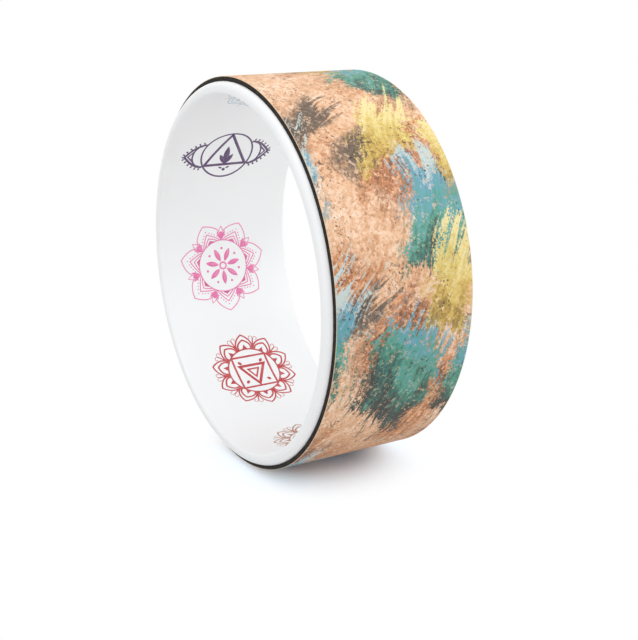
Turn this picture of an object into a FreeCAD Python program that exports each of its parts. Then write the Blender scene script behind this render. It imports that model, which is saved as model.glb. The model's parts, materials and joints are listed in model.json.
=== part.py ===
"""Yoga wheel: a short plastic hoop with rounded rims, wrapped in a rubber underlay and a thin cork
skin, with seven printed lotus transfers round its bore.

The wheel stands on its tread. Its axle line is the Y axis, its centre is the origin, Z is up, and all
sizes are in millimetres. Angles round the wheel run from +X towards +Z.
"""

import FreeCAD
import Part
import Sketcher
import os

DIMENSIONS = {
    # the hoop: a length of plastic pipe whose cut ends are turned to a soft rim, rounder outside than inside
    "pipe_diameter": 315.0,
    "pipe_wall": 9.7,
    "hoop_width": 132.0,
    "rim_outer_round": 5.8,
    "rim_inner_round": 2.4,
    # the tread: rubber underlay and a slightly narrower cork skin, each on a film of double-sided adhesive
    "tread_inset": 5.3,
    "cork_setback": 0.6,
    "film_thickness": 0.15,
    "rubber_thickness": 2.7,
    "cork_thickness": 0.4,
    "cork_edge_round": 0.15,
    "bond_gap": 0.12,
    "butt_gap": 0.4,
    "seam_angle": 208.0,
    # the transfers on the bore
    "transfer_thickness": 0.12,
    "petal_fullness": 0.46,
    "crown_angle": 190.5,
    "crown_offset": -2.0,
    "crown_radius": 43.0,
    "crown_disc": 33.0,
    "crown_petals": 7,
    "root_angle": 233.0,
    "root_offset": 0.0,
    "root_radius": 39.0,
    "root_disc": 31.0,
    "root_petals": 10,
    "sacral_angle": 279.7,
    "sacral_offset": 1.7,
    "sacral_radius": 38.0,
    "sacral_disc": 30.0,
    "sacral_petals": 10,
    "solar_angle": 325.0,
    "solar_offset": 0.0,
    "solar_radius": 41.0,
    "solar_disc": 32.0,
    "solar_petals": 9,
    "heart_angle": 10.0,
    "heart_offset": 0.0,
    "heart_radius": 41.0,
    "heart_disc": 33.0,
    "heart_petals": 12,
    "throat_angle": 104.0,
    "throat_offset": -4.0,
    "throat_radius": 39.5,
    "throat_disc": 32.0,
    "throat_petals": 16,
    "brow_angle": 146.0,
    "brow_offset": -5.0,
    "brow_radius": 45.0,
    "brow_disc": 26.2,
    "brow_petals": 2,
}

# radii from the axle line outwards, each layer a bond gap away from the one below it
HOOP_RADIUS = "(Dimensions.pipe_diameter / 2)"
BORE_RADIUS = f"({HOOP_RADIUS} - Dimensions.pipe_wall)"
TRANSFER_OUTER = f"({BORE_RADIUS} - Dimensions.bond_gap)"
TRANSFER_INNER = f"({TRANSFER_OUTER} - Dimensions.transfer_thickness)"
HOOP_FILM_INNER = f"({HOOP_RADIUS} + Dimensions.bond_gap)"
HOOP_FILM_OUTER = f"({HOOP_FILM_INNER} + Dimensions.film_thickness)"
RUBBER_INNER = f"({HOOP_FILM_OUTER} + Dimensions.bond_gap)"
RUBBER_OUTER = f"({RUBBER_INNER} + Dimensions.rubber_thickness)"
CORK_FILM_INNER = f"({RUBBER_OUTER} + Dimensions.bond_gap)"
CORK_FILM_OUTER = f"({CORK_FILM_INNER} + Dimensions.film_thickness)"
CORK_INNER = f"({CORK_FILM_OUTER} + Dimensions.bond_gap)"
CORK_OUTER = f"({CORK_INNER} + Dimensions.cork_thickness)"
TREAD_WIDTH = "(Dimensions.hoop_width - 2 * Dimensions.tread_inset)"
CORK_WIDTH = f"({TREAD_WIDTH} - 2 * Dimensions.cork_setback)"
WRAP_ANGLE = f"(360 - Dimensions.butt_gap / {HOOP_RADIUS} * 180 / pi)"
RIM_OUTER_ROUND = "min(Dimensions.rim_outer_round; 0.65 * Dimensions.pipe_wall)"
RIM_INNER_ROUND = "min(Dimensions.rim_inner_round; 0.3 * Dimensions.pipe_wall)"
CORK_ROUND = "min(Dimensions.cork_edge_round; 0.45 * Dimensions.cork_thickness)"

TRANSFERS = ("crown", "root", "sacral", "solar", "heart", "throat", "brow")
SPARE = 2.0  # how far cutting shapes reach past the piece they cut

document = FreeCAD.newDocument("yoga_wheel")


def make_sheet():
    """The driving dimensions, one aliased cell each."""
    sheet = document.addObject("Spreadsheet::Sheet", "Dimensions")
    for row, (name, value) in enumerate(DIMENSIONS.items(), start=1):
        sheet.set(f"A{row}", name)
        sheet.set(f"B{row}", str(value))
        sheet.setAlias(f"B{row}", name)
    document.recompute()
    return sheet


def make_body(label):
    body = document.addObject("PartDesign::Body", label)
    body.Label = label
    return body


def attach(sketch, body, role):
    """Lays a sketch on one of its own body's origin planes."""
    plane = next(item for item in body.Origin.OriginFeatures if item.Role == role)
    sketch.AttachmentSupport = [(plane, "")]
    sketch.MapMode = "FlatFace"


def constrain(sketch, name, expression, *place):
    """Adds a dimension between the given points and ties it to the sheet."""
    value = sketch.evalExpression(expression)
    index = sketch.addConstraint(Sketcher.Constraint(*place, float(value)))
    sketch.renameConstraint(index, name)
    sketch.setExpression(f"Constraints.{name}", expression)


def section_sketch(body, name, inner, outer, width):
    """A rectangle beside the axle line, centred on the wheel's middle plane."""
    sketch = body.newObject("Sketcher::SketchObject", name)
    attach(sketch, body, "XY_Plane")
    low, high, half = (float(sketch.evalExpression(text)) for text in (inner, outer, f"{width} / 2"))
    corners = [(low, -half), (high, -half), (high, half), (low, half)]
    points = [FreeCAD.Vector(x, y, 0) for x, y in corners]
    for start, end in zip(points, points[1:] + points[:1]):
        sketch.addGeometry(Part.LineSegment(start, end), False)
    for side in range(4):
        sketch.addConstraint(Sketcher.Constraint("Coincident", side, 2, (side + 1) % 4, 1))
    sketch.addConstraint(Sketcher.Constraint("Horizontal", 0))
    sketch.addConstraint(Sketcher.Constraint("Horizontal", 2))
    sketch.addConstraint(Sketcher.Constraint("Vertical", 3))
    sketch.addConstraint(Sketcher.Constraint("Symmetric", 1, 1, 1, 2, -1))
    if low > 0:
        constrain(sketch, "inner_radius", inner, "DistanceX", -1, 1, 0, 1)
    else:
        sketch.addConstraint(Sketcher.Constraint("PointOnObject", 0, 1, -2))
    constrain(sketch, "outer_radius", outer, "DistanceX", -1, 1, 1, 1)
    constrain(sketch, "width", width, "DistanceY", 1, 1, 1, 2)
    return sketch


def revolve(body, kind, sketch):
    """Turns a section about the axle line, as material or as a cut."""
    feature = body.newObject(kind, f"{sketch.Name}_turn")
    feature.Profile = sketch
    feature.ReferenceAxis = (sketch, ["V_Axis"])
    feature.Angle = 360
    document.recompute()
    return feature


def round_edges(body, feature, name, chosen, radius):
    """Rounds the circular edges of a turned piece that the test picks."""
    edges = [
        f"Edge{number}"
        for number, edge in enumerate(feature.Shape.Edges, start=1)
        if isinstance(edge.Curve, Part.Circle) and chosen(edge.Curve)
    ]
    rounding = body.newObject("PartDesign::Fillet", name)
    rounding.Base = (feature, edges)
    rounding.setExpression("Radius", radius)
    document.recompute()
    return rounding


def turn_about_axle(body, angle):
    """Swings a piece round the axle line, from +X towards +Z."""
    turn = FreeCAD.Rotation(FreeCAD.Vector(0, -1, 0), float(body.evalExpression(angle)))
    body.Placement = FreeCAD.Placement(body.Placement.Base, turn)
    body.setExpression("Placement.Rotation.Angle", angle)


def make_hoop():
    body = make_body("plastic_hoop")
    sketch = section_sketch(body, "hoop_section", BORE_RADIUS, HOOP_RADIUS, "Dimensions.hoop_width")
    hoop = revolve(body, "PartDesign::Revolution", sketch)
    middle = float(body.evalExpression(f"({BORE_RADIUS} + {HOOP_RADIUS}) / 2"))
    eased = round_edges(body, hoop, "hoop_inner_round", lambda circle: circle.Radius < middle, RIM_INNER_ROUND)
    round_edges(body, eased, "hoop_outer_round", lambda circle: circle.Radius > middle, RIM_OUTER_ROUND)
    return body


def make_strip(label, inner, outer, width):
    """A strip wrapped once round the hoop, whose ends meet at the tread's one butt seam."""
    body = make_body(label)
    sketch = section_sketch(body, f"{label}_section", inner, outer, width)
    strip = revolve(body, "PartDesign::Revolution", sketch)
    strip.setExpression("Angle", WRAP_ANGLE)
    document.recompute()
    turn_about_axle(body, "Dimensions.seam_angle")
    return body, strip


def make_cork_skin():
    body, strip = make_strip("cork_skin", CORK_INNER, CORK_OUTER, CORK_WIDTH)
    middle = float(body.evalExpression(f"({CORK_INNER} + {CORK_OUTER}) / 2"))
    round_edges(body, strip, "cork_round", lambda circle: circle.Radius > middle, CORK_ROUND)
    return body


def petal_sketch(body, motif, start, turned):
    """One pointed petal, from the lotus's centre to its outer radius, between two equal arcs."""
    sketch = body.newObject("Sketcher::SketchObject", f"{motif}_petal")
    attach(sketch, body, "YZ_Plane")
    sketch.AttachmentOffset.Rotation = FreeCAD.Rotation(FreeCAD.Vector(0, 0, 1), turned)
    sketch.setExpression("AttachmentOffset.Base.z", start)
    length = f"Dimensions.{motif}_radius"
    width = f"(Dimensions.petal_fullness * {length})"
    radius = f"(({length} ^ 2 + {width} ^ 2) / (4 * {width}))"
    tip = FreeCAD.Vector(0, float(sketch.evalExpression(length)), 0)
    heel = FreeCAD.Vector(0, 0, 0)
    bulge = FreeCAD.Vector(float(sketch.evalExpression(width)) / 2, 0, 0)
    sketch.addGeometry(Part.Arc(tip, tip / 2 - bulge, heel), False)
    sketch.addGeometry(Part.Arc(heel, tip / 2 + bulge, tip), False)
    sketch.addConstraint(Sketcher.Constraint("Coincident", 0, 2, 1, 1))
    sketch.addConstraint(Sketcher.Constraint("Coincident", 1, 2, 0, 1))
    sketch.addConstraint(Sketcher.Constraint("Coincident", 0, 2, -1, 1))
    sketch.addConstraint(Sketcher.Constraint("PointOnObject", 0, 1, -2))
    sketch.addConstraint(Sketcher.Constraint("Equal", 0, 1))
    constrain(sketch, "petal_length", length, "DistanceY", -1, 1, 0, 1)
    constrain(sketch, "petal_curve", radius, "Radius", 0)
    return sketch


def disc_sketch(body, motif, start):
    """The round middle of a lotus."""
    sketch = body.newObject("Sketcher::SketchObject", f"{motif}_disc")
    attach(sketch, body, "YZ_Plane")
    sketch.setExpression("AttachmentOffset.Base.z", start)
    radius = float(sketch.evalExpression(f"Dimensions.{motif}_disc"))
    circle = Part.Circle(FreeCAD.Vector(), FreeCAD.Vector(0, 0, 1), radius)
    sketch.addGeometry(circle, False)
    sketch.addConstraint(Sketcher.Constraint("Coincident", 0, 3, -1, 1))
    constrain(sketch, "disc_radius", f"Dimensions.{motif}_disc", "Radius", 0)
    return sketch


def pad(body, sketch, length):
    feature = body.newObject("PartDesign::Pad", f"{sketch.Name}_pad")
    feature.Profile = sketch
    feature.setExpression("Length", length)
    document.recompute()
    return feature


def make_transfer(motif):
    """A lotus-shaped film that follows the bore: a petalled block trimmed to a thin curved layer."""
    body = make_body(f"{motif}_transfer")
    reach = f"Dimensions.{motif}_radius"
    start = f"(sqrt({BORE_RADIUS} ^ 2 - {reach} ^ 2) - {SPARE})"
    depth = f"({BORE_RADIUS} - {start} + {SPARE})"
    pad(body, disc_sketch(body, motif, start), depth)
    turned = 90 if motif == "brow" else 0  # the brow lotus's two petals lie along the axle
    sketch = petal_sketch(body, motif, start, turned)
    petal = pad(body, sketch, depth)
    ring = body.newObject("PartDesign::PolarPattern", f"{motif}_petals")
    ring.Originals = [petal]
    ring.Axis = (sketch, ["N_Axis"])
    ring.Angle = 360
    ring.setExpression("Occurrences", f"Dimensions.{motif}_petals")
    body.Tip = ring
    document.recompute()
    width = f"(2 * {reach} + {SPARE})"
    inside = section_sketch(body, f"{motif}_inside", "0", TRANSFER_INNER, width)
    revolve(body, "PartDesign::Groove", inside)
    far = f"({TRANSFER_OUTER} + {reach})"
    outside = section_sketch(body, f"{motif}_outside", TRANSFER_OUTER, far, width)
    revolve(body, "PartDesign::Groove", outside)
    most = body.evalExpression(f"pi * {reach} ^ 2 * Dimensions.transfer_thickness")
    if body.Shape.Volume > 1.05 * float(most):
        raise RuntimeError(f"{body.Label} wasn't trimmed to a film")
    body.setExpression("Placement.Base.y", f"Dimensions.{motif}_offset")
    turn_about_axle(body, f"Dimensions.{motif}_angle")
    return body


def make_wheel():
    """Every piece of the wheel, from the hoop outwards, then the transfers on its bore."""
    hoop_film, _ = make_strip("hoop_adhesive", HOOP_FILM_INNER, HOOP_FILM_OUTER, TREAD_WIDTH)
    rubber, _ = make_strip("rubber_underlay", RUBBER_INNER, RUBBER_OUTER, TREAD_WIDTH)
    cork_film, _ = make_strip("cork_adhesive", CORK_FILM_INNER, CORK_FILM_OUTER, CORK_WIDTH)
    layers = [make_hoop(), hoop_film, rubber, cork_film, make_cork_skin()]
    return layers + [make_transfer(motif) for motif in TRANSFERS]


def check(pieces):
    """Stops if any object failed to build or any piece isn't one valid solid."""
    for item in document.Objects:
        if "Invalid" in item.State or "Error" in item.State:
            raise RuntimeError(f"{item.Label} failed: {item.State}")
    for piece in pieces:
        shape = piece.Shape
        if shape.isNull() or not shape.isValid() or len(shape.Solids) != 1:
            raise RuntimeError(f"{piece.Label} isn't one valid solid")


def export(pieces):
    os.makedirs("parts", exist_ok=True)
    for piece in pieces:
        piece.Shape.exportStep(f"parts/{piece.Label}.step")
        box = piece.Shape.optimalBoundingBox()
        sides = f"{box.XLength:.2f} x {box.YLength:.2f} x {box.ZLength:.2f} mm"
        print(f"{piece.Label}: {sides}, volume {piece.Shape.Volume:.1f} mm3")


make_sheet()
wheel = make_wheel()
document.recompute()
check(wheel)
export(wheel)
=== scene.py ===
"""Looks of the yoga wheel: a satin white hoop with round rims, its rubber underlay, the brushed and
speckled cork skin round its tread, and seven lotus prints in coloured ink on its bore.

The axle line is Y, the wheel's centre is the origin and Z is up. Lengths are metres, but drawings of
the prints are in millimetres. Angles round the wheel run from +X towards +Z.
"""

import json
import math

import bmesh
import bpy
from mathutils import Matrix, Vector


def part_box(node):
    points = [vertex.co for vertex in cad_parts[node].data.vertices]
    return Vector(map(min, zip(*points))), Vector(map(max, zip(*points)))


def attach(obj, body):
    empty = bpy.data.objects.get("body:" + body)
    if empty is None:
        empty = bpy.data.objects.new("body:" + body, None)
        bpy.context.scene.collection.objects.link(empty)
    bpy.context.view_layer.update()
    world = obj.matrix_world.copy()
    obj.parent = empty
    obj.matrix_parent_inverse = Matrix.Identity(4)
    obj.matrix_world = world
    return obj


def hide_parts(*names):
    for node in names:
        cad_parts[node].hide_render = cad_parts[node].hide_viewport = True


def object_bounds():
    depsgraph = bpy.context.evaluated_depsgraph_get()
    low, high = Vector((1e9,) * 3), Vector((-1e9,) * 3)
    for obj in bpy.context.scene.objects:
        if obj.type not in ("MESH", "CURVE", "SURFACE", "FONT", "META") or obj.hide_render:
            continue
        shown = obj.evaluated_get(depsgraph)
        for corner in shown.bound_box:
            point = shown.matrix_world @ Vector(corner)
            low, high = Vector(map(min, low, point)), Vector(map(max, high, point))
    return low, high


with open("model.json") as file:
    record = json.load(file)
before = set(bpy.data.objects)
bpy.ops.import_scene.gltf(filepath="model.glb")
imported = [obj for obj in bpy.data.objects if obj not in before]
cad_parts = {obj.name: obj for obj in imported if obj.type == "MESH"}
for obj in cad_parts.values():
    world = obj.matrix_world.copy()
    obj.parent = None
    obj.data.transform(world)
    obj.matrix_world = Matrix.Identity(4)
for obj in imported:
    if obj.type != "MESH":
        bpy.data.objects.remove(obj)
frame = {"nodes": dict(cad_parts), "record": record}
CAD_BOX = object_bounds()
MM = 0.001
FULL_TURN = 2 * math.pi
WHITE = (1, 1, 1, 1)
BLACK = (0, 0, 0, 1)

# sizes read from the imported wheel
BORE = next(mount for mount in frame["record"]["mounts"] if mount["name"] == "bore")
BORE_RADIUS = BORE["dims"]["r_mm"] * MM
HOOP_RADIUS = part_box("plastic_hoop")[1].x
HOOP_WIDTH = 2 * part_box("plastic_hoop")[1].y
RIM_INNER_ROUND = (HOOP_WIDTH - BORE["dims"]["length_mm"] * MM) / 2
RUBBER_WIDTH = 2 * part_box("rubber_underlay")[1].y
CORK_WIDTH = 2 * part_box("cork_skin")[1].y
RUBBER_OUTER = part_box("rubber_underlay")[1].z
CORK_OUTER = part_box("cork_skin")[1].z

# sizes repeated from the part's source: the rims, the layers of the tread, and the seam where their
# ends meet
RIM_OUTER_ROUND = 5.8 * MM
ADHESIVE_STACK = 0.39 * MM
CORK_THICKNESS = 0.4 * MM
SEAM_ANGLE = math.radians(208)
BUTT_GAP = 0.4 * MM

# finish of the tread's edges, and the lumps of the cork's face
RUBBER_EDGE_ROUND = 0.7 * MM
CORK_EDGE_ROUND = 0.3 * MM
CORK_INNER_ROUND = 0.02 * MM
CORK_RELIEF = 0.09 * MM
LUMP_SIZE = 2.6 * MM
LUMPY_DEPTH = 0.1 * MM

# how finely a turned piece is divided: round the wheel, round a corner, across its inner and its
# outer face; and how near the two ends of a full turn are when they merge
HOOP_STEPS = (288, 12, 14, 6)
UNDERLAY_STEPS = (288, 5, 2, 6)
CORK_STEPS = (840, 3, 2, 96)
MERGE_DISTANCE = 0.01 * MM

# ground cork: its coarse and fine grains, how far their borders wander, its grit, the specks and
# squiggles between grains, the patches in which these gather, the clouds of its tone, and where its
# pale cut edge starts and is full; the pale edge is bare cork and also a painted highlight on its round
COARSE_GRAIN = 3.0 * MM
FINE_GRAIN = 1.5 * MM
WANDER_SIZE = 3 * MM
WANDER_REACH = 3.2 * MM
GRIT_SIZE = 1.8 * MM
SPECK_SIZE = 2.7 * MM
SPECK_LEVEL = 0.57
SQUIGGLE_SIZE = 7 * MM
PATCH_SIZE = 20 * MM
CLOUD_SIZE = 60 * MM
BARE_EDGE_AND_HIGHLIGHT = (-0.6 * MM, -0.25 * MM)

# brush marks: how sweeps bend and lean, the widths of their streaks and how far those are drawn out,
# how far a sweep's ends and sides fray, its distance from the next, how soft the borders of thick and
# thin paint are, and where thin paint takes
BEND_SIZE = 170 * MM
BEND_REACH = 110 * MM
LEAN = 0.8
FINGER_WIDTH = 7 * MM
BRISTLE_WIDTH = 2.6 * MM
RIPPLE_SIZE = 20 * MM
SQUEEZE = 0.10
FRONT_FRAY = 60 * MM
BACK_FRAY = 50 * MM
SIDE_RIPPLE = 34 * MM
SIDE_GRIT = 30 * MM
BORDER_MARGIN = 3 * MM
BODY_SOFTNESS = 1.5 * MM
SCUMBLE_SOFTNESS = 5 * MM
SCUMBLE_LEVELS = (0.54, 0.61)

# ink: its height, and the traces by which one layer and one repeat stand above the last
INK_HEIGHT = 0.03 * MM
LAYER_LIFT = 0.05
REPEAT_LIFT = 0.006

# strokes, in millimetres: the longest straight run that follows the bore closely, half widths at
# pointed ends, and how sharp a corner may be before its stroke stops widening
LONGEST_RUN = 2.5
LEAF_POINT = 0.04
DOT_POINT = 0.02
CRESCENT_POINT = 0.05
SHARPEST_CORNER = 0.45

# light: the room's own strength, and each softbox's place, size and power
ROOM_LIGHT = 0.70
SOFTBOXES = {
    "overhead": ((0.3, -0.2, 1.6), 1.6, 10.0),
    "viewer_side": ((0.8, -1.7, 0.6), 1.2, 4.0),
    "far_side": ((0.6, 0.85, 0.35), 0.9, 3.8),
}

# floor: its size, its colour, what it gains where it is seen, and the middle of the shadow, which is
# shorter along the axle, with the distances from it over which the floor turns plain white
FLOOR_SIZE = 12
FLOOR_COLOUR = (0.78, 0.78, 0.78, 1)
FLOOR_LIFT = (0.23, 0.41, 0.62, 1)
SHADOW_MIDDLE = (0.0165, 0, 0)
SHADOW_STRETCH = (1, 1.12, 1)
SHADOW_FADE = (0.036, 0.113)

# the photograph's camera: where it stands, and where the wheel's centre falls in the picture
PHOTO_SIZE = (638, 640)
FOCAL_PIXELS = 1142.8
SENSOR = 36.0
NEAREST_SEEN = 0.01
CAMERA_AZIMUTH = math.radians(60.86)
CAMERA_ELEVATION = math.radians(13.35)
CAMERA_ROLL = math.radians(-0.89)
CAMERA_DISTANCE = 0.9695
CENTRE_PIXEL = (299.6, 266.9)


def paint(red, green, blue):
    """A colour given as screen values from 0 to 255, as the shaders take it."""
    linear = [
        part / 12.92 if part <= 0.04045 else ((part + 0.055) / 1.055) ** 2.4
        for part in (red / 255, green / 255, blue / 255)
    ]
    return (*linear, 1.0)


class Value:
    """A node's socket that joins in arithmetic, so that a formula is written as one."""

    def __init__(self, tree, socket):
        self.tree = tree
        self.socket = socket

    def __add__(self, other):
        return self.tree.math("ADD", self, other)

    def __radd__(self, other):
        return self.tree.math("ADD", other, self)

    def __sub__(self, other):
        return self.tree.math("SUBTRACT", self, other)

    def __rsub__(self, other):
        return self.tree.math("SUBTRACT", other, self)

    def __mul__(self, other):
        return self.tree.math("MULTIPLY", self, other)

    def __rmul__(self, other):
        return self.tree.math("MULTIPLY", other, self)

    def __truediv__(self, other):
        return self.tree.math("DIVIDE", self, other)

    def __rtruediv__(self, other):
        return self.tree.math("DIVIDE", other, self)

    def __gt__(self, other):
        return self.tree.math("GREATER_THAN", self, other)

    def __lt__(self, other):
        return self.tree.math("LESS_THAN", self, other)


class Tree:
    """A node tree under construction. Every node comes from add()."""

    def __init__(self, nodes):
        self.nodes = nodes

    def add(self, kind, settings=None, sockets=None, out=0):
        """Makes a node, sets its settings, fills or links its sockets, and returns one output."""
        node = self.nodes.nodes.new(kind)
        for name, setting in (settings or {}).items():
            if name == "stops":
                self.set_stops(node.color_ramp, setting)
            else:
                setattr(node, name, setting)
        for name, given in (sockets or {}).items():
            if isinstance(given, Value):
                self.nodes.links.new(given.socket, node.inputs[name])
            else:
                node.inputs[name].default_value = given
        return Value(self, node.outputs[out]) if len(node.outputs) else None

    @staticmethod
    def set_stops(ramp, stops):
        while len(ramp.elements) < len(stops):
            ramp.elements.new(1.0)
        for element, (place, colour) in zip(ramp.elements, stops):
            element.position = place
            element.color = colour

    def math(self, operation, *terms):
        return self.add("ShaderNodeMath", {"operation": operation}, dict(enumerate(terms)))

    def least(self, first, *others):
        """The smallest of several values."""
        for other in others:
            first = self.math("MINIMUM", first, other)
        return first

    def vector(self, operation, *terms):
        return self.add("ShaderNodeVectorMath", {"operation": operation}, dict(enumerate(terms)))

    def combine(self, x, y, z):
        return self.add("ShaderNodeCombineXYZ", None, {"X": x, "Y": y, "Z": z})

    def part(self, vector, axis):
        return self.add("ShaderNodeSeparateXYZ", None, {"Vector": vector}, axis)

    def about_axle(self, radius, angle, across):
        """The place at a radius and an angle about the axle line, and at a distance along it."""
        x = radius * self.math("COSINE", angle)
        z = radius * self.math("SINE", angle)
        return self.combine(x, across, z)

    def mix(self, factor, first, second):
        return self.add("ShaderNodeMix", {"data_type": "RGBA"}, {0: factor, 6: first, 7: second}, 2)

    def step(self, value, low, high):
        """Rises smoothly from 0 at low to 1 at high."""
        settings = {"interpolation_type": "SMOOTHSTEP"}
        sockets = {"Value": value, "From Min": low, "From Max": high}
        return self.add("ShaderNodeMapRange", settings, sockets)

    def ramp(self, value, *stops):
        return self.add("ShaderNodeValToRGB", {"stops": stops}, {"Fac": value})

    def noise(self, place, size, detail=2.0, rough=0.5, out="Fac"):
        """Cloudy variation whose lumps are about as large as size."""
        sockets = {"Vector": place, "Scale": 1 / size, "Detail": detail, "Roughness": rough}
        return self.add("ShaderNodeTexNoise", None, sockets, out)

    def cells(self, place, size, out="Color"):
        """Cells about as wide as size."""
        return self.add("ShaderNodeTexVoronoi", None, {"Vector": place, "Scale": 1 / size}, out)

    def object_place(self):
        return self.add("ShaderNodeTexCoord", None, None, "Object")

    def bump(self, height, distance, strength=1.0):
        sockets = {"Height": height, "Distance": distance, "Strength": strength}
        return self.add("ShaderNodeBump", None, sockets)

    def surface(self, **sockets):
        """Ends a material in one shader, whose sockets are given with their spaces as underscores."""
        named = {name.replace("_", " "): given for name, given in sockets.items()}
        shader = self.add("ShaderNodeBsdfPrincipled", None, named)
        self.add("ShaderNodeOutputMaterial", None, {"Surface": shader})


def new_material(name):
    material = bpy.data.materials.new(name)
    material.use_nodes = True
    material.node_tree.nodes.clear()
    return material, Tree(material.node_tree)


def smooth_white_plastic():
    """Satin white plastic: faint haze, a trace of wipe marks and a very shallow ripple."""
    material, tree = new_material("smooth_white_plastic")
    place = tree.object_place()
    haze = tree.noise(place, 60 * MM, 3.0)
    wipes = tree.noise(tree.vector("MULTIPLY", place, (0.25, 1.0, 0.25)), 3 * MM, 4.0, 0.6)
    white = tree.mix(haze, paint(243, 244, 245), paint(248, 249, 250))
    tree.surface(
        Base_Color=white,
        Roughness=0.26 + 0.10 * wipes + 0.06 * haze,
        IOR=1.5,
        Coat_Weight=0.15,
        Coat_Roughness=0.2,
        Normal=tree.bump(wipes, 0.004 * MM),
    )
    return material


def black_rubber():
    """Fine-celled black rubber, a little dusty where it was cut."""
    material, tree = new_material("black_rubber")
    place = tree.object_place()
    pores = tree.cells(place, 0.7 * MM, "Distance")
    dust = tree.noise(place, 4 * MM, 4.0, 0.65)
    tone = tree.step(dust, 0.3, 0.85)
    tree.surface(
        Base_Color=tree.mix(tone, paint(27, 23, 21), paint(66, 58, 54)),
        Roughness=0.72 + 0.2 * dust,
        Specular_IOR_Level=0.25,
        Normal=tree.bump(pores, 0.12 * MM, 0.7),
    )
    return material


def adhesive_film():
    """Smoke-coloured double-sided film, seen only along its edge."""
    material, tree = new_material("adhesive_film")
    streaks = tree.noise(tree.object_place(), 6 * MM, 3.0)
    tree.surface(
        Base_Color=tree.mix(streaks, paint(48, 45, 42), paint(78, 72, 64)),
        Roughness=0.45 + 0.2 * streaks,
    )
    return material


def ink(name, colour):
    """Printed ink, slightly uneven in strength."""
    material, tree = new_material(name)
    place = tree.object_place()
    patchy = tree.noise(place, 1.6 * MM, 3.0, 0.6)
    worn = tree.step(tree.noise(place, 12 * MM, 2.0), 0.35, 0.75)
    full = paint(*colour)
    faded = [part + 0.12 * (1 - part) for part in full]
    tree.surface(
        Base_Color=tree.mix(patchy * 0.5 + worn * 0.5, full, faded),
        Roughness=0.3 + 0.15 * patchy,
        Coat_Weight=0.2,
    )
    return material


def cork_grain(tree, place):
    """Ground cork: the grains' uneven tone, fine grit, and dark specks and squiggles between grains."""
    jitter = tree.noise(place, WANDER_SIZE, 2.0, 0.5, "Color")
    ragged = tree.vector("MULTIPLY_ADD", jitter, (WANDER_REACH,) * 3, place)
    coarse = tree.part(tree.cells(ragged, COARSE_GRAIN), 0)
    fine = tree.part(tree.cells(ragged, FINE_GRAIN), 1)
    grit = tree.noise(place, GRIT_SIZE, 3.0, 0.7)
    mottle = 0.5 * (coarse - 0.5) + 0.35 * (fine - 0.5) + 0.9 * (grit - 0.5)
    gate = tree.noise(place, PATCH_SIZE, 3.0)
    pick = tree.part(tree.cells(ragged, SPECK_SIZE), 2)
    spread = tree.cells(ragged, SPECK_SIZE, "Distance")
    specks = tree.step(0.75 * (pick + 1.1 * (gate - 0.5) - SPECK_LEVEL) - spread, 0.0, 0.10)
    wander = tree.math("ABSOLUTE", tree.noise(ragged, SQUIGGLE_SIZE, 1.0) - 0.5)
    squiggles = tree.step(wander, 0.022, 0.006) * tree.step(gate, 0.50, 0.60)
    return mottle, grit, tree.math("MAXIMUM", specks, 0.8 * squiggles)


class CorkGround:
    """Bare cork: places on the unrolled strip, its grain, and how well each spot takes paint."""

    def __init__(self, tree):
        self.tree = tree
        self.strip = tree.add("ShaderNodeAttribute", {"attribute_name": "strip"}, None, "Vector")
        self.mottle, self.grit, self.specks = cork_grain(tree, tree.object_place())
        self.takes = 1 - 0.55 * tree.step(self.mottle, 0.16, 0.34)
        drift = tree.noise(self.strip, BEND_SIZE, 2.0, 0.5, "Color")
        self.bent = tree.vector("MULTIPLY_ADD", drift, (BEND_REACH, BEND_REACH, 0), self.strip)

    def bare_look(self):
        cloud = self.tree.noise(self.strip, CLOUD_SIZE, 4.0, 0.6)
        return self.tree.ramp(
            0.54 + 0.6 * (cloud - 0.5) + 0.42 * self.mottle,
            (0.10, paint(138, 88, 58)),
            (0.32, paint(198, 140, 100)),
            (0.52, paint(230, 183, 144)),
            (0.72, paint(249, 217, 190)),
            (0.94, paint(254, 241, 228)),
        )


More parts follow.
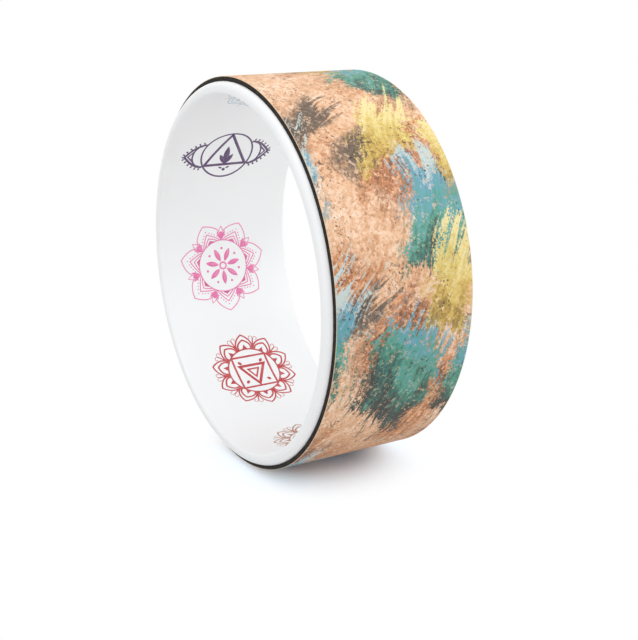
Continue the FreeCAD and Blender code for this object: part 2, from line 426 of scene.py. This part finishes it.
class Brush:
    """Sweeps of one brush, strewn over the cork at about one angle, lengths in metres."""

    def __init__(self, cork, angle, seed, spacing):
        tree = cork.tree
        self.tree = tree
        self.grit = cork.grit
        sockets = {"Vector": cork.bent, "Rotation": (0, 0, angle), "Location": (seed, 0.6 * seed, 0)}
        turned_strip = tree.add("ShaderNodeMapping", None, sockets)
        grid = tree.vector("DIVIDE", turned_strip, (*spacing, 1))
        settings = {"voronoi_dimensions": "2D", "feature": "F1"}
        sockets = {"Vector": grid, "Scale": 1.0, "Randomness": 0.6}
        centre = tree.add("ShaderNodeTexVoronoi", settings, sockets, "Position")
        pick = tree.add("ShaderNodeTexVoronoi", settings, sockets, "Color")
        settings = {"voronoi_dimensions": "2D", "feature": "DISTANCE_TO_EDGE"}
        self.border = min(spacing) * tree.add("ShaderNodeTexVoronoi", settings, sockets)
        local = tree.vector("MULTIPLY", tree.vector("SUBTRACT", grid, centre), (*spacing, 1))
        along, aside = tree.part(local, 0), tree.part(local, 1)
        self.chance, lean, self.tint = (tree.part(pick, axis) for axis in range(3))
        lean = LEAN * (lean - 0.5)
        self.along = along + lean * aside
        self.aside = aside - lean * along
        self.fingers = self.drawn_out(FINGER_WIDTH, 1.5, 0.5)
        self.bristles = self.drawn_out(BRISTLE_WIDTH, 3.0, 0.6)
        self.ripple = tree.noise(turned_strip, RIPPLE_SIZE, 3.0, 0.6)

    def drawn_out(self, size, detail, rough):
        """Noise drawn out along each sweep."""
        flat = self.tree.combine(SQUEEZE * self.along, self.aside, self.tint)
        return self.tree.noise(flat, size, detail, rough)

    def load(self, slope):
        """How paint thins out over each sweep, about 0.5, with a slope along it per metre."""
        streaks = 0.5 * (self.bristles - 0.5) + 0.4 * (self.fingers - 0.5) + 0.6 * (self.ripple - 0.5)
        return 0.5 + slope * self.along + streaks + 0.2 * (self.tint - 0.5)

    def body(self, share, back, front, half, reach, soft=BODY_SOFTNESS):
        """Paint from behind a sweep's middle to a fingered front, on a share of the sweeps."""
        ahead = front + reach * (self.fingers - 0.5) + FRONT_FRAY * (self.bristles - 0.5) - self.along
        behind = self.along - back + BACK_FRAY * (self.bristles - 0.5)
        beside = half - self.tree.math("ABSOLUTE", self.aside)
        inside = self.tree.least(ahead, behind, beside, self.border - BORDER_MARGIN)
        inside = inside + SIDE_RIPPLE * (self.ripple - 0.5) + SIDE_GRIT * (self.grit - 0.5)
        return (self.chance < share) * self.tree.step(inside, -soft, soft)

    def scumble(self, share, back, front, half, reach):
        """The thin paint round a body, only where bristles and grain took it up."""
        taken = self.bristles + 0.6 * (self.grit - 0.5)
        thin = self.body(share, back, front, half, reach, SCUMBLE_SOFTNESS)
        return thin * self.tree.step(taken, *SCUMBLE_LEVELS)


def rust_coat(cork, look):
    """A wash of burnt orange and brown."""
    brush = Brush(cork, -0.62, 1.74, (140 * MM, 62 * MM))
    tone = cork.tree.ramp(
        brush.load(0.0) + 0.45 * cork.mottle,
        (0.24, paint(84, 52, 34)),
        (0.40, paint(142, 86, 52)),
        (0.55, paint(202, 130, 82)),
        (0.74, paint(230, 168, 120)),
    )
    wash = brush.body(0.66, back=-60 * MM, front=40 * MM, half=24 * MM, reach=90 * MM, soft=10 * MM)
    return cork.tree.mix(0.88 * cork.takes * wash, look, tone)


def smoke_coat(cork, look):
    """Short dark sweeps of grey-green and brown."""
    brush = Brush(cork, -0.80, 5.77, (130 * MM, 66 * MM))
    tone = cork.tree.ramp(
        brush.load(0.0) + 0.45 * cork.mottle,
        (0.28, paint(36, 44, 44)),
        (0.48, paint(74, 74, 68)),
        (0.70, paint(146, 114, 90)),
    )
    dusk = brush.body(0.62, back=-44 * MM, front=26 * MM, half=18 * MM, reach=80 * MM, soft=6 * MM)
    return cork.tree.mix(0.86 * cork.takes * dusk, look, tone)


def teal_coat(cork, look):
    """Broad sweeps that go from dark green through teal and blue to pale blue."""
    brush = Brush(cork, -0.50, 3.24, (150 * MM, 84 * MM))
    tone = cork.tree.ramp(
        brush.load(7.0) + 0.25 * cork.mottle,
        (0.10, paint(52, 64, 62)),
        (0.24, paint(54, 112, 102)),
        (0.38, paint(80, 156, 136)),
        (0.52, paint(92, 164, 166)),
        (0.66, paint(100, 160, 182)),
        (0.84, paint(196, 212, 210)),
    )
    thin = brush.scumble(0.8, back=-72 * MM, front=52 * MM, half=42 * MM, reach=120 * MM)
    look = cork.tree.mix(0.75 * thin, look, tone)
    thick = brush.body(0.8, back=-56 * MM, front=34 * MM, half=32 * MM, reach=120 * MM)
    return cork.tree.mix(0.96 * cork.takes * thick, look, tone)


def sun_coat(cork, look):
    """Dry fans of yellow over everything else."""
    brush = Brush(cork, -0.32, 4.07, (130 * MM, 66 * MM))
    tone = cork.tree.ramp(
        brush.load(6.0) + 0.4 * cork.mottle,
        (0.16, paint(152, 126, 60)),
        (0.36, paint(204, 170, 82)),
        (0.56, paint(222, 198, 114)),
        (0.80, paint(242, 224, 160)),
    )
    thin = brush.scumble(0.42, back=-58 * MM, front=42 * MM, half=30 * MM, reach=100 * MM)
    look = cork.tree.mix(0.8 * thin, look, tone)
    thick = brush.body(0.42, back=-44 * MM, front=28 * MM, half=20 * MM, reach=100 * MM)
    return cork.tree.mix(0.95 * cork.takes * thick, look, tone)


def brushed_cork():
    """Fine-grained cork under dry-brushed colour that lets grains and dark flecks show."""
    material, tree = new_material("brushed_cork")
    cork = CorkGround(tree)
    look = cork.bare_look()
    for coat in (rust_coat, smoke_coat, teal_coat, sun_coat):
        look = coat(cork, look)
    look = tree.mix(0.82 * cork.specks, look, paint(60, 42, 32))
    # the cut edge and its round are painted pale: bare cork there, and a painted highlight along the
    # edge
    past_edge = tree.math("ABSOLUTE", tree.part(cork.strip, 1)) - CORK_WIDTH / 2
    look = tree.mix(0.7 * tree.step(past_edge, *BARE_EDGE_AND_HIGHLIGHT), look, paint(236, 208, 176))
    tree.surface(
        Base_Color=look,
        Roughness=0.7 + 0.3 * cork.mottle,
        Normal=tree.bump(cork.mottle - 0.8 * cork.specks, 0.12 * MM, 0.7),
    )
    return material


def geometry_tree(name, inputs):
    """An empty Geometry Nodes tree with named inputs, and the values that they bring."""
    group = bpy.data.node_groups.new(name, "GeometryNodeTree")
    group.interface.new_socket("Geometry", in_out="OUTPUT", socket_type="NodeSocketGeometry")
    group.interface.new_socket("Geometry", in_out="INPUT", socket_type="NodeSocketGeometry")
    for label, kind in inputs.items():
        group.interface.new_socket(label, in_out="INPUT", socket_type=f"NodeSocket{kind}")
    tree = Tree(group)
    given = group.nodes.new("NodeGroupInput")
    return group, tree, {socket.name: Value(tree, socket) for socket in given.outputs if socket.name}


def turned_section_tree():
    """Turns a closed section about the axle line, through all or part of a turn."""
    inputs = {"Start": "Float", "Sweep": "Float", "Steps": "Int", "Capped": "Bool", "Grain": "Float"}
    group, tree, given = geometry_tree("turned_section", {**inputs, "Material": "Material"})
    rail = tree.add("GeometryNodeCurvePrimitiveLine", None, {"End": (0, 0, 1)})
    rail = tree.add("GeometryNodeResampleCurve", None, {"Curve": rail, "Count": given["Steps"] + 1})
    sockets = {"Curve": rail, "Profile Curve": given["Geometry"], "Fill Caps": given["Capped"]}
    wall = tree.add("GeometryNodeCurveToMesh", None, sockets)
    place = tree.add("GeometryNodeInputPosition")
    radius, across, lap = (tree.part(place, axis) for axis in range(3))
    turn = given["Sweep"] * lap
    settings = {"data_type": "FLOAT_VECTOR", "domain": "POINT"}
    strip = tree.combine(turn * CORK_OUTER, across, 0)
    sockets = {"Geometry": wall, "Name": "strip", "Value": strip}
    wall = tree.add("GeometryNodeStoreNamedAttribute", settings, sockets)
    on_face = tree.step(radius, CORK_OUTER - LUMPY_DEPTH, CORK_OUTER)
    lumps = tree.noise(strip, LUMP_SIZE, 2.0, 0.6) * on_face
    bent = tree.about_axle(radius - given["Grain"] * lumps, given["Start"] + turn, across)
    wall = tree.add("GeometryNodeSetPosition", None, {"Geometry": wall, "Position": bent})
    sockets = {"Geometry": wall, "Distance": MERGE_DISTANCE}
    wall = tree.add("GeometryNodeMergeByDistance", None, sockets)
    ring = tree.add("GeometryNodeRealizeInstances", None, {"Geometry": wall})
    ring = tree.add("GeometryNodeSetShadeSmooth", None, {"Geometry": ring})
    sockets = {"Geometry": ring, "Material": given["Material"]}
    ring = tree.add("GeometryNodeSetMaterial", None, sockets)
    tree.add("NodeGroupOutput", None, {"Geometry": ring})
    return group


def ink_strokes_tree():
    """Gives drawn strokes their width, repeats them round a centre and lays them on the bore."""
    inputs = {"Repeats": "Int", "Angle": "Float", "Offset": "Float", "Lift": "Float"}
    group, tree, given = geometry_tree("ink_strokes", {**inputs, "Material": "Material"})
    lines = tree.add("GeometryNodeSetCurveNormal", {"mode": "Z_UP"}, {"Curve": given["Geometry"]})
    nib = tree.add("GeometryNodeCurvePrimitiveQuadrilateral", None, {"Width": 2.0, "Height": 2.0})
    width = tree.add("GeometryNodeInputRadius")
    sockets = {"Curve": lines, "Profile Curve": nib, "Scale": width, "Fill Caps": True}
    stroke = tree.add("GeometryNodeCurveToMesh", None, sockets)
    right, up, side = (tree.part(tree.add("GeometryNodeInputPosition"), axis) for axis in range(3))
    level = tree.combine(right, up, side > 0.0)
    stroke = tree.add("GeometryNodeSetPosition", None, {"Geometry": stroke, "Position": level})
    number = tree.add("GeometryNodeInputIndex")
    centre = tree.combine(0, 0, given["Lift"] + number * REPEAT_LIFT)
    centres = tree.add("GeometryNodePoints", None, {"Count": given["Repeats"], "Position": centre})
    turn = tree.combine(0, 0, number * FULL_TURN / given["Repeats"])
    spin = tree.add("FunctionNodeEulerToRotation", None, {"Euler": turn})
    sockets = {"Points": centres, "Instance": stroke, "Rotation": spin}
    drawing = tree.add("GeometryNodeInstanceOnPoints", None, sockets)
    drawing = tree.add("GeometryNodeRealizeInstances", None, {"Geometry": drawing})
    right, up, side = (tree.part(tree.add("GeometryNodeInputPosition"), axis) for axis in range(3))
    angle = given["Angle"] - up * MM / BORE_RADIUS
    bent = tree.about_axle(BORE_RADIUS - side * INK_HEIGHT, angle, right * MM + given["Offset"])
    laid = tree.add("GeometryNodeSetPosition", None, {"Geometry": drawing, "Position": bent})
    sockets = {"Geometry": laid, "Material": given["Material"]}
    laid = tree.add("GeometryNodeSetMaterial", None, sockets)
    tree.add("NodeGroupOutput", None, {"Geometry": laid})
    return group


def line_curve(name, strokes):
    """Strokes as a curve: each is (points, half widths, closed)."""
    curve = bpy.data.curves.new(name, "CURVE")
    curve.dimensions = "3D"
    for points, halves, closed in strokes:
        spline = curve.splines.new("POLY")
        spline.points.add(len(points) - 1)
        for target, (x, y), half in zip(spline.points, points, halves):
            target.co = (x, y, 0, 1)
            target.radius = half
        spline.use_cyclic_u = closed
    return curve


def shaped(name, curve, group, **sizes):
    """Runs a Geometry Nodes tree on a curve and returns the plain mesh that it makes."""
    source = bpy.data.objects.new(name, curve)
    bpy.context.scene.collection.objects.link(source)
    modifier = source.modifiers.new(group.name, "NODES")
    modifier.node_group = group
    for item in group.interface.items_tree:
        if item.in_out == "INPUT" and item.name in sizes:
            modifier[item.identifier] = sizes[item.name]
    bpy.context.view_layer.update()
    ready = source.evaluated_get(bpy.context.evaluated_depsgraph_get())
    mesh = bpy.data.meshes.new_from_object(ready)
    source.modifiers.remove(modifier)
    bpy.data.objects.remove(source)
    return mesh


def place_piece(name, mesh, slot, *nodes):
    """Puts a finished mesh on the wheel in place of its plain solids."""
    mesh.name = name
    piece = bpy.data.objects.new(name, mesh)
    bpy.context.scene.collection.objects.link(piece)
    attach(piece, "root")
    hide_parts(*nodes)


def rounded_section(inner, outer, width, rounds, corner_steps, inner_steps, outer_steps):
    """A closed section beside the axle line. rounds are those of its inner and its outer corners."""
    inner_round, outer_round = rounds
    corners = [
        (inner + inner_round, -1, inner_round, math.pi, 1),
        (outer - outer_round, -1, outer_round, 1.5 * math.pi, outer_steps),
        (outer - outer_round, 1, outer_round, 0.0, 1),
        (inner + inner_round, 1, inner_round, 0.5 * math.pi, inner_steps),
    ]
    points = []
    for centre_x, side, bend, start, face_steps in corners:
        centre_y = side * (width / 2 - bend)
        for step in range(corner_steps + 1):
            angle = start + 0.5 * math.pi * step / corner_steps
            points.append((centre_x + bend * math.cos(angle), centre_y + bend * math.sin(angle)))
        x, y = points[-1]
        points += [(x, y - 2 * y * step / face_steps) for step in range(1, face_steps)]
    return points


def turned_piece(name, group, section, steps, sweep, material, grain=0.0):
    """A piece turned from a section; less than a full turn leaves its ends at the seam."""
    curve = line_curve(name, [(section, [1.0] * len(section), True)])
    return shaped(
        name,
        curve,
        group,
        Start=SEAM_ANGLE,
        Sweep=sweep,
        Steps=steps,
        Capped=sweep < FULL_TURN,
        Grain=grain,
        Material=material,
    )


def make_hoop(turning):
    rounds = (RIM_INNER_ROUND, RIM_OUTER_ROUND)
    around, *across = HOOP_STEPS
    section = rounded_section(BORE_RADIUS, HOOP_RADIUS, HOOP_WIDTH, rounds, *across)
    mesh = turned_piece("hoop", turning, section, around, FULL_TURN, smooth_white_plastic())
    place_piece("hoop", mesh, "white_plastic", "plastic_hoop")


def make_underlay(turning, wrap):
    rounds = (RUBBER_EDGE_ROUND, RUBBER_EDGE_ROUND)
    around, *across = UNDERLAY_STEPS
    inner = HOOP_RADIUS + ADHESIVE_STACK
    section = rounded_section(inner, RUBBER_OUTER, RUBBER_WIDTH, rounds, *across)
    mesh = turned_piece("underlay", turning, section, around, wrap, black_rubber())
    place_piece("underlay", mesh, "black_rubber", "rubber_underlay")


def make_cork(turning, wrap):
    rounds = (CORK_INNER_ROUND, CORK_EDGE_ROUND)
    around, *across = CORK_STEPS
    inner = CORK_OUTER - CORK_THICKNESS
    section = rounded_section(inner, CORK_OUTER, CORK_WIDTH, rounds, *across)
    mesh = turned_piece("cork", turning, section, around, wrap, brushed_cork(), CORK_RELIEF)
    place_piece("cork", mesh, "printed_cork", "cork_skin")


def coat_films():
    """The two adhesive films keep their solids and get a material of their own."""
    film = adhesive_film()
    for node in ("hoop_adhesive", "cork_adhesive"):
        frame["nodes"][node].data.materials.clear()
        frame["nodes"][node].data.materials.append(film)


def make_hoop_and_tread():
    turning = turned_section_tree()
    wrap = FULL_TURN - BUTT_GAP / HOOP_RADIUS
    make_hoop(turning)
    make_underlay(turning, wrap)
    make_cork(turning, wrap)
    coat_films()


def line(points, width, closed=False):
    """A stroke of even width through points. Corners are widened to stay sharp, long runs divided."""
    ends = points[1:] + points[:1] if closed else points[1:]
    route = []
    for start, end in zip(points, ends):
        parts = max(1, math.ceil(math.dist(start, end) / LONGEST_RUN))
        route += [tuple(Vector(start).lerp(Vector(end), part / parts)) for part in range(parts)]
    if not closed:
        route.append(points[-1])
    halves = []
    for number, point in enumerate(route):
        if not closed and number in (0, len(route) - 1):
            halves.append(width / 2)
            continue
        ahead = Vector(route[(number + 1) % len(route)]) - Vector(point)
        behind = Vector(point) - Vector(route[number - 1])
        halves.append(width / 2 / max(math.cos(ahead.angle(behind) / 2), SHARPEST_CORNER))
    return route, halves, closed


def polygon(sides, radius, width, first):
    """A straight-sided figure whose first corner stands at an angle from the top."""
    turns = [first + FULL_TURN * corner / sides for corner in range(sides)]
    return line([(radius * math.sin(turn), radius * math.cos(turn)) for turn in turns], width, True)


def circle(radius, width):
    return polygon(max(16, round(3 * radius)), radius, width, 0.0)


def both_sides(edge):
    """A right-hand edge that ends on the middle line, then its mirror image back down."""
    return edge + [(-x, y) for x, y in reversed(edge[:-1])]


def petal(disc, tip, half, width, swell=0.12):
    """The outline of a petal that stands on a disc and ends in a point."""
    steps = 11
    base = math.sqrt(disc ** 2 - half ** 2)
    edge = []
    for step in range(steps + 1):
        along = step / steps
        bulge = swell * math.sin(math.pi * along)
        edge.append((half * ((1 - along ** 2.1) ** 0.8 + bulge), base + (tip - base) * along))
    return line(both_sides(edge), width)


def chevron_edge(disc, tip, half):
    """Points up the right-hand side of a gable that stands on a disc."""
    steps = 5
    base = math.sqrt(disc ** 2 - half ** 2)
    shares = [step / steps for step in range(steps + 1)]
    return [(half * (1 - share), base + (tip - base) * share ** 0.8) for share in shares]


def chevron(disc, tip, half, width):
    """A gable's outline."""
    return line(both_sides(chevron_edge(disc, tip, half)), width)


def leaf(start, end, half):
    """A solid leaf from one point to another."""
    steps = 9
    points = [tuple(Vector(start).lerp(Vector(end), step / steps)) for step in range(steps + 1)]
    swell = [max(math.sin(math.pi * step / steps), 0.0) ** 0.8 for step in range(steps + 1)]
    return points, [max(half * part, LEAF_POINT) for part in swell], False


def hollow_leaf(low, high, half, width):
    """The outline of a leaf that stands on the middle line, between two heights."""
    steps = 8
    shares = [step / steps for step in range(steps + 1)]
    edge = [(half * math.sin(math.pi * share), low + (high - low) * share) for share in shares]
    return line(edge + [(-x, y) for x, y in reversed(edge[1:-1])], width, True)


def dot(centre, radius):
    """A solid round spot."""
    steps = 8
    turns = [math.pi * step / steps for step in range(steps + 1)]
    points = [(centre[0] - radius * math.cos(turn), centre[1]) for turn in turns]
    return points, [max(radius * math.sin(turn), DOT_POINT) for turn in turns], False


def wedge(start, end, half):
    """A solid triangle from its wide end to its point."""
    return [start, end], [half, LEAF_POINT], False


def crescent(radius, middle, half):
    """A solid crescent that lies on its back."""
    steps = 20
    points = []
    halves = []
    for step in range(steps + 1):
        turn = 0.5 * math.pi + 0.55 * math.pi * (2 * step / steps - 1)
        points.append((radius * math.cos(turn), middle - radius * math.sin(turn)))
        halves.append(max(half * math.sin(math.pi * step / steps), CRESCENT_POINT))
    return points, halves, False


def curl(start, size, width):
    """A thin stem that rises, leans to the right and rolls up at its end."""
    steps = 14
    points = [start]
    for step in range(steps):
        turn = 1.5 * math.pi * step / steps
        reach = size * (1 - 0.45 * step / steps)
        x = start[0] + size - reach * math.cos(turn)
        points.append((x, start[1] + 2.2 * size + reach * math.sin(turn)))
    return points, [width / 2] * len(points), False


def mirrored(strokes):
    """Strokes with their left and right sides exchanged."""
    return [([(-x, y) for x, y in points], halves, closed) for points, halves, closed in strokes]


def upturned(strokes):
    """Strokes with their upper and lower sides exchanged."""
    return [([(x, -y) for x, y in points], halves, closed) for points, halves, closed in strokes]


def turned(strokes, angle):
    """Strokes swung clockwise about the centre."""
    swung = []
    for points, halves, closed in strokes:
        swing = [
            (x * math.cos(angle) + y * math.sin(angle), y * math.cos(angle) - x * math.sin(angle))
            for x, y in points
        ]
        swung.append((swing, halves, closed))
    return swung


def crown_drawing():
    """Seven broad petals with dotted edges and chevrons, and a bold rosette on the bare disc."""
    disc = 24.6
    half_pitch = math.pi / 7
    petals = [
        petal(disc, 43.4, 10.4, 0.95, 0.32),
        chevron(disc, 34.4, 9.8, 1.0),
        chevron(disc, 30.0, 7.2, 1.0),
        wedge((0, disc), (0, 27.6), 4.2),
    ]
    beads = [dot((x + 1.0, y + 2.2), 0.62) for x, y in chevron_edge(disc, 34.4, 9.8)[1:-1]]
    petals += [*beads, *mirrored(beads), dot((0, 37.2), 0.62)]
    side_leaf = leaf((0.4, 25.5), (4.3, 33.6), 1.2)
    bud = [leaf((0, 25), (0, 33.5), 2.0), hollow_leaf(29, 38, 2.0, 0.7)]
    bud += [side_leaf, *mirrored([side_leaf])]
    rosette = [leaf((0, 4.5), (0, 18), 2.4)]
    return [
        (7, turned(petals, half_pitch)),
        (7, bud),
        (1, [circle(disc, 0.9), circle(3.2, 1.6)]),
        (7, turned(rosette, half_pitch)),
        (7, [dot((0, 16.8), 1.2)]),
    ]


def nested_lotus(disc, tip, half, width):
    """Ten nested petals on a disc, each with a solid bud, and curled stems between them."""
    middle = disc + 0.64 * (tip - disc)
    petals = [
        petal(disc, tip, half, width, 0.2),
        petal(disc, middle, 0.79 * half, 1.08 * width, 0.2),
        wedge((0, disc), (0, disc + 5), 2.7),
    ]
    stem = curl((0.3, disc + 7.0), 2.2, 0.55)
    between = [stem, *mirrored([stem]), leaf((0, disc + 1), (0, disc + 8.5), 0.9)]
    return [(10, petals), (10, turned(between, math.pi / 10)), (1, [circle(disc, width)])]


def root_drawing():
    """A nested lotus round a square that holds two triangles."""
    return nested_lotus(25, 40, 7.6, 1.5) + [
        (1, [polygon(4, 24.4, 2.0, math.pi / 4)]),
        (1, [polygon(3, 14.5, 2.7, math.pi), polygon(3, 6.2, 1.7, math.pi)]),
        (4, turned([leaf((0, 13.0), (0, 17.8), 1.5)], math.pi / 4)),
    ]


def sacral_drawing():
    """A nested lotus round a lying crescent."""
    return nested_lotus(24, 38, 7.3, 1.4) + [
        (1, [circle(21, 0.8), crescent(15, 4, 3.4), dot((0, 6), 2.2)]),
    ]


def solar_drawing():
    """Nine petals round a triangle that points down."""
    petals = [petal(25, 41, 8.4, 0.9), petal(25, 35, 6.4, 1.2), leaf((0, 25.5), (0, 32), 1.6)]
    between = [leaf((0, 27), (0, 36), 1.5), dot((0, 38.5), 0.9)]
    return [
        (9, petals),
        (9, turned(between, math.pi / 9)),
        (1, [circle(25, 1.0)]),
        (1, [polygon(3, 23, 2.0, math.pi), polygon(3, 9, 1.4, math.pi)]),
        (1, [dot((0, 0), 1.8)]),
    ]


def heart_drawing():
    """Twelve petals round a six-pointed star."""
    petals = [petal(26, 41, 6.5, 0.9), petal(26, 35.5, 4.8, 1.1), leaf((0, 26.5), (0, 33), 1.2)]
    between = [dot((0, 36), 0.9), leaf((0, 29), (0, 34), 0.9)]
    return [
        (12, petals),
        (12, turned(between, math.pi / 12)),
        (1, [circle(26, 1.0)]),
        (1, [polygon(3, 23.5, 1.7, 0.0)]),
        (1, [polygon(3, 23.5, 1.7, math.pi)]),
        (6, [leaf((0, 3.2), (0, 9.5), 1.4)]),
    ]


def throat_drawing():
    """Eight broad petals round a triangle and a ringed rosette."""
    side_leaf = leaf((0.6, 27.0), (3.6, 31.0), 0.7)
    petals = [
        petal(26, 38.8, 9.4, 0.9, 0.3),
        petal(26, 35.4, 7.0, 0.8, 0.3),
        leaf((0, 26.5), (0, 33), 0.9),
        side_leaf,
        *mirrored([side_leaf]),
    ]
    between = [hollow_leaf(28.5, 36.5, 1.9, 0.7), dot((0, 38.2), 0.7)]
    return [
        (8, petals),
        (8, turned(between, math.pi / 8)),
        (1, [circle(26, 1.0), circle(23.5, 0.7)]),
        (1, [polygon(3, 22.5, 1.9, math.pi)]),
        (1, [circle(9.8, 1.4)]),
        (8, [leaf((0, 1.6), (0, 7.8), 1.0)]),
    ]


def brow_wing(disc, root, tip, rise):
    """The right-hand wing: a pointed outline, an arch and a gable in it, and a fringe of lashes."""

    def upper_edge(share):
        return root + (tip - root) * share, rise * math.cos(0.5 * math.pi * share ** 1.25)

    shares = [step / 12 for step in range(13)]
    upper = [point for point in map(upper_edge, shares) if math.hypot(*point) > disc]
    outline = line(upper + [(x, -y) for x, y in reversed(upper[:-1])], 2.2)
    bends = [math.pi * (share - 0.5) for share in shares]
    arch = line([(26.4 + 8.0 * math.cos(bend), 11.6 * math.sin(bend)) for bend in bends], 1.7)
    gable = line([(33.6, 5.6), (38.9, 0), (33.6, -5.6)], 1.5)
    lashes = []
    for along in (0.18, 0.36, 0.53, 0.69, 0.84, 0.96):
        x, y = upper_edge(along)
        out = Vector((0.2 + 0.9 * along, 1)).normalized()
        lashes.append(line([(x, y), (x + 2.5 * out.x, y + 2.5 * out.y)], 1.2))
        lashes.append(dot((x + 2.8 * out.x, y + 2.8 * out.y), 0.95))
    last_lash = [line([(tip, 0), (43.8, 0)], 1.4), dot((44.0, 0), 0.95)]
    return [outline, arch, gable, *lashes, *upturned(lashes), *last_lash]


def brow_drawing():
    """A circle with an upright triangle and a bud, between two fringed wings."""
    disc = 25.2
    side_leaf = leaf((0, -11), (6.6, -0.6), 2.3)
    bud = [leaf((0, -12), (0, 9), 3.0), side_leaf, *mirrored([side_leaf])]
    sepal = leaf((1.6, -16.4), (5.6, -14.6), 0.9)
    return [
        (2, brow_wing(disc, 21.0, 42.2, 13.0)),
        (1, [circle(disc, 1.7)]),
        (1, [polygon(3, 23.8, 2.7, 0.0)]),
        (1, bud),
        (1, [dot((0, -17.6), 1.6), *mirrored([sepal]), sepal]),
    ]


# each print: its place round the bore in degrees and along it in millimetres, its slot, its colour
# and its drawing
PRINTS = {
    "crown": (190.5, -2, "pink_ink", (240, 116, 176), crown_drawing),
    "root": (233, 0, "red_ink", (196, 28, 40), root_drawing),
    "sacral": (279.7, 1.7, "orange_ink", (184, 124, 92), sacral_drawing),
    "solar": (325, 0, "yellow_ink", (226, 178, 40), solar_drawing),
    "heart": (10, 0, "green_ink", (70, 158, 84), heart_drawing),
    "throat": (104, -4, "blue_ink", (166, 197, 215), throat_drawing),
    "brow": (146, -5, "purple_ink", (78, 40, 98), brow_drawing),
}


def make_prints():
    """Every print is its layers of strokes laid on the bore, each a trace above the one before."""
    inking = ink_strokes_tree()
    for name, (angle, offset, slot, colour, drawing) in PRINTS.items():
        material = ink(slot, colour)
        joined = bmesh.new()
        for number, (repeats, strokes) in enumerate(drawing()):
            layer = shaped(
                f"{name}_layer_{number}",
                line_curve(f"{name}_strokes_{number}", strokes),
                inking,
                Repeats=repeats,
                Angle=math.radians(angle),
                Offset=offset * MM,
                Lift=number * LAYER_LIFT,
                Material=material,
            )
            joined.from_mesh(layer)
            bpy.data.meshes.remove(layer)
        for face in joined.faces:
            face.material_index = 0
        mesh = bpy.data.meshes.new(f"{name}_print")
        joined.to_mesh(mesh)
        joined.free()
        mesh.materials.append(material)
        place_piece(f"{name}_print", mesh, slot, f"{name}_transfer")


def make_camera():
    """The photograph's viewpoint."""
    az, el = CAMERA_AZIMUTH, CAMERA_ELEVATION
    back = Vector((math.sin(az) * math.cos(el), -math.cos(az) * math.cos(el), math.sin(el)))
    right = Vector((math.cos(az), math.sin(az), 0))
    up = back.cross(right)
    aside = CENTRE_PIXEL[0] - PHOTO_SIZE[0] / 2
    below = CENTRE_PIXEL[1] - PHOTO_SIZE[1] / 2
    pan = math.atan(aside / FOCAL_PIXELS)
    tilt = math.atan(below / math.hypot(FOCAL_PIXELS, aside))
    stand = back * CAMERA_DISTANCE
    back, right = (
        math.cos(pan) * back + math.sin(pan) * right,
        math.cos(pan) * right - math.sin(pan) * back,
    )
    back, up = (
        math.cos(tilt) * back - math.sin(tilt) * up,
        math.cos(tilt) * up + math.sin(tilt) * back,
    )
    right, up = (
        math.cos(CAMERA_ROLL) * right + math.sin(CAMERA_ROLL) * up,
        math.cos(CAMERA_ROLL) * up - math.sin(CAMERA_ROLL) * right,
    )
    data = bpy.data.cameras.new("camera")
    data.sensor_width = SENSOR
    data.lens = FOCAL_PIXELS * SENSOR / max(PHOTO_SIZE)
    data.clip_start = NEAREST_SEEN
    camera = bpy.data.objects.new("camera", data)
    turn = Matrix((right, up, back)).transposed().to_4x4()
    camera.matrix_world = Matrix.Translation(stand) @ turn
    bpy.context.scene.collection.objects.link(camera)
    bpy.context.scene.camera = camera


def seen_directly(tree):
    """1 where the camera, a mirror image or a look through glass meets the surface, 0 for its light."""
    rays = ("Is Camera Ray", "Is Glossy Ray", "Is Transmission Ray")
    camera, glossy, through = (tree.add("ShaderNodeLightPath", None, None, ray) for ray in rays)
    return tree.math("MAXIMUM", camera, tree.math("MAXIMUM", glossy, through))


def make_floor():
    """A white floor that shows the wheel's shadow and fades to plain white away from it."""
    bpy.ops.mesh.primitive_plane_add(size=FLOOR_SIZE, location=(0, 0, CAD_BOX[0].z))
    floor = bpy.context.object
    floor.name = "floor"
    material, tree = new_material("studio_floor")
    apart = tree.vector("SUBTRACT", tree.object_place(), SHADOW_MIDDLE)
    apart = tree.vector("MULTIPLY", apart, SHADOW_STRETCH)
    away = tree.add("ShaderNodeVectorMath", {"operation": "LENGTH"}, {0: apart}, "Value")
    seen = seen_directly(tree)
    matte = tree.add("ShaderNodeBsdfDiffuse", None, {"Color": FLOOR_COLOUR})
    bright = tree.add("ShaderNodeBsdfDiffuse", None, {"Color": tree.mix(seen, BLACK, FLOOR_LIFT)})
    shaded = tree.add("ShaderNodeAddShader", None, {0: matte, 1: bright})
    plain = tree.add("ShaderNodeEmission", None, {"Color": WHITE, "Strength": 1.0})
    fade = seen * tree.step(away, *SHADOW_FADE)
    shown = tree.add("ShaderNodeMixShader", None, {0: fade, 1: shaded, 2: plain})
    tree.add("ShaderNodeOutputMaterial", None, {"Surface": shown})
    floor.data.materials.append(material)


def make_light():
    """A white room, and softboxes that all face the wheel."""
    world = bpy.data.worlds.new("white_room")
    world.use_nodes = True
    bpy.context.scene.world = world
    world.node_tree.nodes.clear()
    tree = Tree(world.node_tree)
    strength = ROOM_LIGHT + (1 - ROOM_LIGHT) * seen_directly(tree)
    room = tree.add("ShaderNodeBackground", None, {"Color": WHITE, "Strength": strength})
    tree.add("ShaderNodeOutputWorld", None, {"Surface": room})
    for name, (place, size, power) in SOFTBOXES.items():
        data = bpy.data.lights.new(name, "AREA")
        data.size = size
        data.energy = power
        lamp = bpy.data.objects.new(name, data)
        lamp.location = place
        lamp.rotation_mode = "QUATERNION"
        lamp.rotation_quaternion = Vector(place).to_track_quat("Z", "Y")
        bpy.context.scene.collection.objects.link(lamp)


bpy.context.scene.view_settings.view_transform = "Standard"
make_camera()
make_light()
make_floor()
make_hoop_and_tread()
make_prints()
